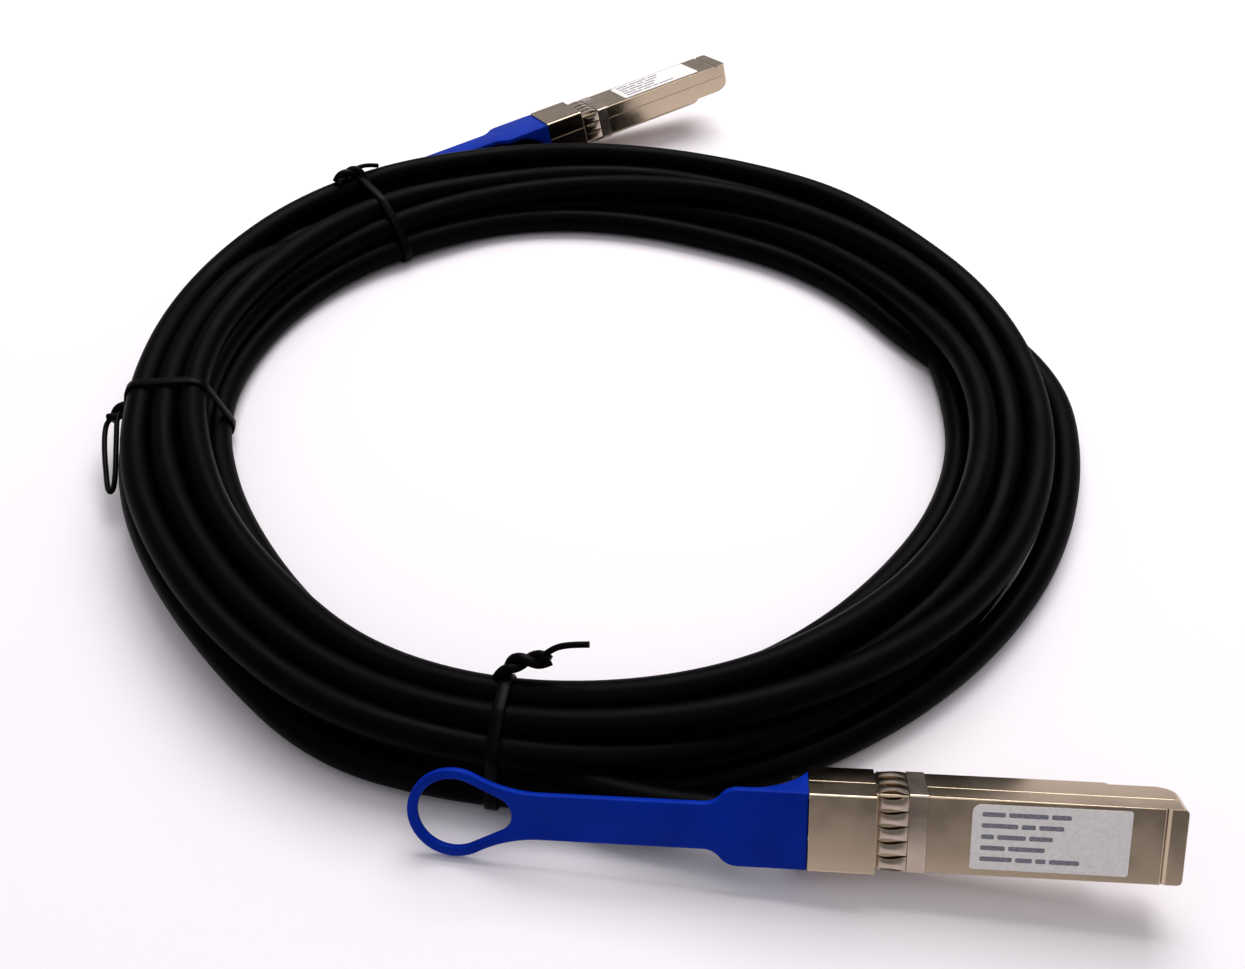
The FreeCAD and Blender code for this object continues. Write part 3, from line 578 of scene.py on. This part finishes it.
# the tight line round the points, anticlockwise
def convexHull(points):
    def half(chain):
        hull = []
        for p in chain:
            while len(hull) > 1 and ((hull[-1][0] - hull[-2][0]) * (p[1] - hull[-2][1])
                                     - (hull[-1][1] - hull[-2][1]) * (p[0] - hull[-2][0])) <= 0:
                hull.pop()
            hull.append(p)
        return hull[:-1]
    points = sorted(points)
    return half(points) + half(points[::-1])


tieShape = {
    "width": 2.2, "gauge": 0.55, "clearance": 0.1, "edge": 0.18, "offFloor": 0.02,      # the band
    "wire": 0.92, "tailWire": 0.56, "twistRadius": 0.74, "pitch": 8.0,      # radii, and mm in a turn
    "bendSteps": 20, "twistSteps": 25, "sharp": 50,
}

# direction, where the twist leaves the band (degrees in the section, 0 outwards and 90 up), then
# outward, sideways and height in mm from there for the twisted pair and for its loose end
ties = {
    "frontTie": {
        "angle": -98.0, "leaves": 128.0,
        "twist": [(0.8, -1.2, -0.6), (-0.4, -0.4, 1.4), (-1.2, 1.4, 2.8), (-1.8, 4.0, 3.4), (-2.0, 7.2, 3.4)],
        "loose": [(-1.8, 5.4, 3.8), (-2.2, 6.4, 4.8), (-2.8, 7.8, 6.2), (-3.2, 10.2, 6.8), (-3.4, 13.8, 7.2)],
    },
    "leftTie": {
        "angle": -175.0, "leaves": 10.0,
        "twist": [(-0.8, -1.6, 0.6), (0.4, 0.0, 0.7), (1.7, 1.2, 0.2), (3.3, 2.2, -0.5)],
        "loose": [(2.3, 1.6, -0.1), (3.8, 2.2, -0.7), (4.3, 3.8, -1.2), (3.5, 10.2, -2.5),
                  (1.9, 17.0, -3.4), (0.9, 21.4, -3.8), (-0.3, 22.6, -3.4), (-0.9, 20.4, -2.4),
                  (0.2, 12.0, -0.8), (0.9, 6.0, 0.3), (1.5, 2.6, 0.5), (1.1, 0.9, 0.6)],
    },
    "rearTie": {
        "angle": 129.0, "leaves": 72.0,
        "twist": [(-0.4, -1.4, -0.6), (0.2, 0.4, 1.0), (0.4, 2.8, 1.4), (-0.4, 6.2, 0.6)],
        "loose": [(0.2, 2.2, 1.2), (0.8, -0.2, 2.2), (0.9, -3.0, 1.8), (0.4, -6.4, 0.4)],
    },
}


# flat coated strip that lies round the strands
def tieBandMesh(hull):
    hull = np.array(hull)
    edge, gauge, half = tieShape["edge"], tieShape["gauge"], tieShape["width"] / 2
    section = [(-half, edge), (-half + edge, 0), (half - edge, 0), (half, edge), (half, gauge - edge),
               (half - edge, gauge), (-half + edge, gauge), (-half, gauge - edge)]
    ahead = np.roll(hull, -1, 0) - np.roll(hull, 1, 0)
    normal = np.stack([ahead[:, 1], -ahead[:, 0]], 1) / np.linalg.norm(ahead, axis=1)[:, None]
    points, faces = [], []
    for (r, z), (nr, nz) in zip(hull, normal):
        points += [(r + nr * out, across, z + nz * out) for across, out in section]
    rows, ring = len(hull), len(section)
    for i in range(rows):
        for k in range(ring):
            a, b = i * ring + k, i * ring + (k + 1) % ring
            c, d = (i + 1) % rows * ring + (k + 1) % ring, (i + 1) % rows * ring + k
            faces.append((a, d, c, b))
    mesh = bpy.data.meshes.new("band")
    mesh.from_pydata(points, [], faces)
    mesh.update()
    return mesh


# one strand of the pair that winds round a smooth line through the points
def twisted(points, phase):
    line = np.array(points, float)
    fine = []
    for t in np.linspace(0, len(line) - 1, tieShape["twistSteps"] + 1):
        i = min(int(t), len(line) - 2)
        u = t - i
        p0, p1, p2, p3 = line[max(i - 1, 0)], line[i], line[i + 1], line[min(i + 2, len(line) - 1)]
        fine.append(0.5 * ((2 * p1) + (p2 - p0) * u + (2 * p0 - 5 * p1 + 4 * p2 - p3) * u * u
                           + (3 * p1 - p0 - 3 * p2 + p3) * u ** 3))
    fine = np.array(fine)
    ahead = np.gradient(fine, axis=0)
    ahead /= np.linalg.norm(ahead, axis=1)[:, None]
    run = np.concatenate([[0], np.cumsum(np.linalg.norm(np.diff(fine, axis=0), axis=1))])
    first = np.cross(ahead, (0, 0, 1.0))
    first /= np.linalg.norm(first, axis=1)[:, None]
    second = np.cross(ahead, first)
    turn = phase + 2 * math.pi * run / tieShape["pitch"]
    aside = np.cos(turn)[:, None] * first + np.sin(turn)[:, None] * second
    return (fine + tieShape["twistRadius"] * aside).tolist()


def buildTie(name, line):
    facts = ties[name]
    strands = strandsAt(line, facts["angle"])
    grown = strandRadius + tieShape["clearance"]
    bends = np.linspace(0, 2 * math.pi, tieShape["bendSteps"], endpoint=False)
    circle = [(grown * math.cos(a), grown * math.sin(a)) for a in bends]
    lowest = tieShape["gauge"] + tieShape["offFloor"]
    hull = convexHull([(r + dr, max(z + dz, lowest)) for r, z in strands for dr, dz in circle])
    middleR, middleZ = np.mean(hull, axis=0)
    directions = np.array([math.degrees(math.atan2(z - middleZ, r - middleR)) for r, z in hull])
    rootR, rootZ = hull[int(np.argmin(degreesApart(directions, facts["leaves"])))]
    place = (Matrix.Scale(mm, 4) @ Matrix.Translation((*cable["centre"], 0))
             @ Matrix.Rotation(math.radians(facts["angle"]), 4, "Z"))

    def fromRoot(points):
        return [(rootR + r, s, rootZ + z) for r, s, z in points]

    meshes = [tieBandMesh(hull)]
    for phase in (0, math.pi):
        meshes.append(wireMesh(twisted(fromRoot(facts["twist"]), phase), tieShape["wire"]))
    meshes.append(wireMesh(fromRoot(facts["loose"]), tieShape["tailWire"]))
    piece = gathered(name, [(mesh, place, 0) for mesh in meshes], [tieVinyl], tieShape["sharp"])
    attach(piece, "root")
    print(name, "round", len(strands), "strands")
    return piece


cablePiece = buildCable()
cableLine = centreline(cablePiece)
tiePieces = [buildTie(name, cableLine) for name in ties]
for piece, node in zip(tiePieces, ("front_tie", "left_tie", "rear_tie")):
    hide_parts(node)
print("cable and ties done")

# where the cage stops on the label face, in mm, and yaw, pitch and roll
plugs = {
    "near": {"at": (38.0, -127.1, 11.9), "turn": (-5.4, -3.9, 60.7)},
    "far": {"at": (-17.7, 107.4, 12.2), "turn": (27.5, -6.9, -13.0)},
}


# from the plug's own millimetres, X to the nose and Z out of the label face, to the scene
def plugFrame(side):
    yaw, pitch, roll = (math.radians(a) for a in plugs[side]["turn"])
    turn = Matrix.Rotation(yaw, 4, "Z") @ Matrix.Rotation(pitch, 4, "Y") @ Matrix.Rotation(roll, 4, "X")
    return Matrix.Scale(mm, 4) @ Matrix.Translation(plugs[side]["at"]) @ turn


# points of an arc between two directions in degrees
def arc(centre, radius, start, stop, steps=16):
    turns = [math.radians(start + (stop - start) * i / steps) for i in range(steps + 1)]
    return [(centre[0] + radius * math.cos(a), centre[1] + radius * math.sin(a)) for a in turns]


sheetWeld = 0.002                       # mm


# sheet cut to closed outlines in its own plane, with rounded edges, centred on z 0
def flatMesh(outlines, gauge, edge, edgeSteps=3):
    curve = bpy.data.curves.new("sheet", "CURVE")
    curve.dimensions = "2D"
    curve.fill_mode = "BOTH"
    curve.extrude = gauge / 2 - edge
    curve.bevel_depth = edge
    curve.bevel_resolution = edgeSteps
    curve.offset = -edge
    for outline in outlines:
        addSpline(curve, "POLY", [(x, y, 0) for x, y in outline]).use_cyclic_u = True
    piece = addObject("sheet", curve)
    mesh = plainMesh(piece)
    drop(piece)
    whole = bmesh.new()
    whole.from_mesh(mesh)
    bmesh.ops.remove_doubles(whole, verts=whole.verts, dist=sheetWeld)
    bmesh.ops.recalc_face_normals(whole, faces=whole.faces)
    whole.to_mesh(mesh)
    whole.free()
    return mesh


# from the plug's stop back to the ring: places and half widths in mm
tab = {
    "front": -10.66, "half": 6.9, "top": 1.1, "gauge": 1.4, "edge": 0.4,
    "hoodEnd": -21.9, "shoulder": 5.6, "strapHalf": 4.1,
    "ringAt": -68.6, "ring": 7.9, "neck": 22.0, "hole": 6.2, "holeTip": 3.4, "tipOffset": 6.3,
    "wall": 1.4, "wallEdge": 0.3, "wallProud": 0.01,
    "drop": 6.7, "curve": 8.1, "belly": 0.4, "underStrap": 0.6,       # of the hood's side walls
    "sharp": 35,
}


# hood, shoulders, strap, and a neck that runs into the ring
def tabOutline():
    step = tab["half"] - tab["strapHalf"]
    shoulder = (tab["shoulder"] ** 2 + step ** 2) / (4 * step)        # radius of its two arcs
    turn = math.degrees(math.asin(tab["shoulder"] / 2 / shoulder))
    strapStart = tab["hoodEnd"] - tab["shoulder"]
    neckY = tab["strapHalf"] + tab["neck"]
    neckX = tab["ringAt"] + math.sqrt((tab["ring"] + tab["neck"]) ** 2 - neckY ** 2)
    lean = math.degrees(math.atan2(neckY, neckX - tab["ringAt"]))
    half = [(tab["front"], tab["half"])]
    half += arc((tab["hoodEnd"], tab["half"] - shoulder), shoulder, 90, 90 + turn)
    half += arc((strapStart, tab["strapHalf"] + shoulder), shoulder, turn - 90, -90)[1:]
    half += arc((neckX, neckY), tab["neck"], -90, lean - 180, steps=20)
    half += arc((tab["ringAt"], 0), tab["ring"], lean, 180, steps=40)[1:]
    return half + [(x, -y) for x, y in reversed(half[:-1])]


# drop-shaped hole: a large arc, and a small one towards the strap
def ringHole():
    lean = math.degrees(math.asin((tab["hole"] - tab["holeTip"]) / tab["tipOffset"]))
    big = arc((tab["ringAt"], 0), tab["hole"], 90 - lean, 270 + lean, steps=56)
    small = arc((tab["ringAt"] + tab["tipOffset"], 0), tab["holeTip"], lean - 90, 90 - lean, steps=28)
    return big + small


# centre of the circle through three points
def circleCentre(a, m, b):
    d = 2 * (a.x * (m.y - b.y) + m.x * (b.y - a.y) + b.x * (a.y - m.y))
    x = (a.length_squared * (m.y - b.y) + m.length_squared * (b.y - a.y) + b.length_squared * (a.y - m.y)) / d
    y = (a.length_squared * (b.x - m.x) + m.length_squared * (a.x - b.x) + b.length_squared * (m.x - a.x)) / d
    return Vector((x, y))


# side wall of the hood from the side: deep at the collar, curving up to the strap
def hoodSide():
    low = Vector((tab["front"], -tab["drop"]))
    belly = Vector((tab["front"] - tab["belly"] * tab["curve"], -tab["belly"] * tab["drop"]))
    high = Vector((tab["front"] - tab["curve"], tab["top"] - tab["gauge"]))
    centre = circleCentre(low, belly, high)
    start, stop = (math.degrees(math.atan2(*reversed(end - centre))) for end in (low, high))
    swing = (stop - start + 180) % 360 - 180
    back, under = high.x - tab["underStrap"], tab["top"] - tab["edge"]
    return arc(centre, (low - centre).length, start, start + swing, steps=18) + [
        (back, high.y), (back, under), (tab["front"], under)]


def buildTab(side):
    place = plugFrame(side)
    middle = tab["top"] - tab["gauge"] / 2
    meshes = [(flatMesh([tabOutline(), ringHole()], tab["gauge"], tab["edge"]),
               place @ Matrix.Translation((0, 0, middle)), 0)]
    upright = Matrix.Rotation(math.radians(90), 4, "X")
    for way in (-1, 1):
        y = way * (tab["half"] + tab["wallProud"] - tab["wall"] / 2)
        wall = flatMesh([hoodSide()], tab["wall"], tab["wallEdge"])
        meshes.append((wall, place @ Matrix.Translation((0, y, 0)) @ upright, 0))
    piece = gathered(side + "PullTab", meshes, [tabPlastic], tab["sharp"])
    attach(piece, side + "_tab")
    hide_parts(side + "_pull_tab")


for side in plugs:
    buildTab(side)
print("pull tabs done")

label = {
    "back": 14.9, "length": 24.3, "width": 11.4, "offset": 0.25,
    "gauge": 0.1, "edge": 0.03, "corner": 0.5, "round": 1.4,
    "margin": 1.5, "lineHeight": 0.8, "linePitch": 1.95, "firstLine": 4.0,
    "inkGauge": 0.012, "inkEdge": 0.002, "inkCorner": 0.25,
    "sharp": 35,
}

# blocks in the place of each line of print: start and length in mm from the margin
printLines = [
    [(0, 3.6), (4.1, 6.0), (10.6, 3.0)],
    [(0, 5.6), (6.1, 2.2), (8.8, 3.8)],
    [(0, 2.0), (2.5, 4.4), (7.4, 3.6)],
    [(0, 3.8), (4.3, 5.6)],
    [(0, 5.0), (5.5, 2.6), (8.6, 1.6), (10.7, 4.6)],
]


# outline of a rectangle with its own radius at each corner, anticlockwise from low x and low y
def roundedBox(x0, x1, y0, y1, corners):
    a, b, c, d = corners
    return (arc((x0 + a, y0 + a), a, 180, 270, steps=6) + arc((x1 - b, y0 + b), b, 270, 360, steps=6)
            + arc((x1 - c, y1 - c), c, 0, 90, steps=6) + arc((x0 + d, y1 - d), d, 90, 180, steps=8))


def buildLabel(side):
    place = plugFrame(side)
    x0, x1 = label["back"], label["back"] + label["length"]
    y0, y1 = label["offset"] - label["width"] / 2, label["offset"] + label["width"] / 2
    film = roundedBox(x0, x1, y0, y1, [label["corner"]] * 3 + [label["round"]])
    meshes = [(flatMesh([film], label["gauge"], label["edge"], edgeSteps=2),
               place @ Matrix.Translation((0, 0, label["gauge"] / 2)), 0)]
    onFilm = place @ Matrix.Translation((0, 0, label["gauge"] + label["inkGauge"] / 2))
    for row, blocks in enumerate(printLines):
        y = label["offset"] + label["firstLine"] - row * label["linePitch"]
        low, high = y - label["lineHeight"] / 2, y + label["lineHeight"] / 2
        for start, length in blocks:
            left = x0 + label["margin"] + start
            block = roundedBox(left, left + length, low, high, [label["inkCorner"]] * 4)
            meshes.append((flatMesh([block], label["inkGauge"], label["inkEdge"], edgeSteps=0), onFilm, 1))
    piece = gathered(side + "Label", meshes, [labelFilm, ink], label["sharp"])
    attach(piece, "root")
    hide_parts(side + "_label")


for side in plugs:
    buildLabel(side)
print("labels done")

gasket = {
    "toe": 0.35, "crestEnd": 5.15, "bandEnd": 8.05,
    "bulge": 0.5, "gauge": 0.2, "slitOpen": 0.95, "slitClosed": 0.12,
    "half": 6.8, "depth": 8.5, "chamfer": 0.8, "edge": 0.25, "gap": 4.2,
    "across": 5, "down": 3, "under": 2,                 # fingers on the label face, a side and underneath
    "lensSkew": 0.62, "archPower": 0.8, "crown": 0.9,   # widest slit near the toe, steep feet, rounded across
    "sharp": 40,
}


# Geometry Nodes: a row of sprung fingers that arch from the toe to the band
def fingerTree():
    tree = bpy.data.node_groups.new("fingerRow", "GeometryNodeTree")
    tree.interface.new_socket("Geometry", in_out="OUTPUT", socket_type="NodeSocketGeometry")
    for name in ("Row Length", "Fingers", "Finger Length", "Bulge", "Slit Open", "Slit Closed"):
        kind = "NodeSocketInt" if name == "Fingers" else "NodeSocketFloat"
        tree.interface.new_socket(name, in_out="INPUT", socket_type=kind)
    given = tree.nodes.new("NodeGroupInput")

    # arithmetic on outputs and plain numbers
    def worked(operation, *values):
        node = addNode(tree, "ShaderNodeMath", {"operation": operation})
        for socket, value in zip(node.inputs, values):
            if isinstance(value, (int, float)):
                socket.default_value = value
            else:
                tree.links.new(value, socket)
        return node.outputs[0]

    halfTurn = math.pi * 0.999              # a hair under, so that no sine is negative
    pitch = worked("DIVIDE", given.outputs["Row Length"], given.outputs["Fingers"])
    grid = addNode(tree, "GeometryNodeMeshGrid", {"Size Y": 1.0, "Vertices X": 21, "Vertices Y": 5},
                   {"Size X": given.outputs["Finger Length"]})
    position = addNode(tree, "GeometryNodeInputPosition")
    spot = addNode(tree, "ShaderNodeSeparateXYZ", links={"Vector": position.outputs[0]})
    along = worked("ADD", worked("DIVIDE", spot.outputs["X"], given.outputs["Finger Length"]), 0.5)
    lens = worked("SINE", worked("MULTIPLY", worked("POWER", along, gasket["lensSkew"]), halfTurn))
    slit = worked("ADD", given.outputs["Slit Closed"], worked("MULTIPLY", lens, given.outputs["Slit Open"]))
    across = worked("MULTIPLY", spot.outputs["Y"], worked("SUBTRACT", pitch, slit))
    arched = worked("POWER", worked("SINE", worked("MULTIPLY", along, halfTurn)), gasket["archPower"])
    fromMiddle = worked("POWER", worked("ABSOLUTE", spot.outputs["Y"]), 2.0)
    crown = worked("SUBTRACT", 1.0, worked("MULTIPLY", fromMiddle, gasket["crown"]))
    height = worked("MULTIPLY", given.outputs["Bulge"], worked("MULTIPLY", arched, crown))
    moved = addNode(tree, "ShaderNodeCombineXYZ", links={"X": spot.outputs["X"], "Y": across, "Z": height})
    finger = addNode(tree, "GeometryNodeSetPosition",
                     links={"Geometry": grid.outputs["Mesh"], "Position": moved.outputs[0]})
    firstPlace = worked("MULTIPLY", worked("SUBTRACT", pitch, given.outputs["Row Length"]), 0.5)
    start = addNode(tree, "ShaderNodeCombineXYZ", links={"Y": firstPlace})
    step = addNode(tree, "ShaderNodeCombineXYZ", links={"Y": pitch})
    row = addNode(tree, "GeometryNodeMeshLine", links={
        "Count": given.outputs["Fingers"], "Start Location": start.outputs[0], "Offset": step.outputs[0]})
    copies = addNode(tree, "GeometryNodeInstanceOnPoints",
                     links={"Points": row.outputs["Mesh"], "Instance": finger.outputs["Geometry"]})
    real = addNode(tree, "GeometryNodeRealizeInstances", links={"Geometry": copies.outputs["Instances"]})
    coat = addNode(tree, "GeometryNodeSetMaterial", {"Material": springSteel},
                   {"Geometry": real.outputs["Geometry"]})
    addNode(tree, "NodeGroupOutput", links={"Geometry": coat.outputs["Geometry"]})
    return tree


# the piece's mesh with its wall inwards, in mm
def walled(piece):
    wall = piece.modifiers.new("wall", "SOLIDIFY")
    wall.thickness = gasket["gauge"]
    wall.offset = -1
    mesh = plainMesh(piece)
    drop(piece)
    return mesh


# a row of fingers along Y and centred
def fingerRow(tree, length, count):
    holder = addObject("row", bpy.data.meshes.new("row"))
    nodes = holder.modifiers.new("fingers", "NODES")
    nodes.node_group = tree
    values = {"Row Length": length, "Fingers": count, "Finger Length": gasket["crestEnd"] - gasket["toe"],
              "Bulge": gasket["bulge"], "Slit Open": gasket["slitOpen"], "Slit Closed": gasket["slitClosed"]}
    for item in tree.interface.items_tree:
        if item.in_out == "INPUT":
            nodes[item.identifier] = values[item.name]
    return walled(holder)


# plain band in front of the fingers, open under the latch
def bandMesh():
    half, depth, cut, edge = gasket["half"], gasket["depth"], gasket["chamfer"], gasket["edge"]
    outline = [(gasket["gap"] / 2, -depth), (half - cut, -depth), (half, -depth + cut), (half, -edge)]
    outline += arc((half - edge, -edge), edge, 0, 90, steps=4)
    outline += [(-y, z) for y, z in reversed(outline)]
    points = [(x, y, z) for y, z in outline for x in (gasket["crestEnd"], gasket["bandEnd"])]
    faces = [(2 * i, 2 * i + 1, 2 * i + 3, 2 * i + 2) for i in range(len(outline) - 1)]
    return walled(meshObject("band", points, faces, springSteel))


def buildGasket(side, tree):
    place = plugFrame(side)
    middle = (gasket["toe"] + gasket["crestEnd"]) / 2
    half, depth = gasket["half"], gasket["depth"]
    sideLength = depth - gasket["chamfer"] - gasket["edge"]
    sideMiddle = -(gasket["edge"] + sideLength / 2)
    underLength = half - gasket["chamfer"] - gasket["gap"] / 2
    underMiddle = (gasket["gap"] + underLength) / 2

    def standing(y, z, degrees):
        return place @ Matrix.Translation((middle, y, z)) @ Matrix.Rotation(math.radians(degrees), 4, "X")

    meshes = [(bandMesh(), place, 0),
              (fingerRow(tree, 2 * (half - gasket["edge"]), gasket["across"]), standing(0, 0, 0), 0)]
    for way in (-1, 1):
        sideRow = fingerRow(tree, sideLength, gasket["down"])
        meshes.append((sideRow, standing(way * half, sideMiddle, -90 * way), 0))
        underRow = fingerRow(tree, underLength, gasket["under"])
        meshes.append((underRow, standing(way * underMiddle, -depth, 180), 0))
    piece = gathered(side + "SpringGasket", meshes, [springSteel], gasket["sharp"])
    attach(piece, "root")
    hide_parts(side + "_emi_gasket")


rowTree = fingerTree()
for side in plugs:
    buildGasket(side, rowTree)
print("gaskets done")

finishes = {
    "base_shell": dieCast, "cover_shell": dieCast, "circuit_board": laminate, "contact_pads": gold,
    "cable_ferrule": ferruleMetal, "cover_rivets": steel, "latch_rocker": steel, "latch_pin": steel,
    "latch_spring": springSteel, "release_slider": springSteel,
    "transmit_pair": insulation, "receive_pair": insulation,
}
for side in plugs:
    for name, material in finishes.items():
        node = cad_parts[side + "_" + name]
        if not node.material_slots:
            node.data.materials.append(material)
        for holder in node.material_slots:
            holder.material = material
print("finishes done")
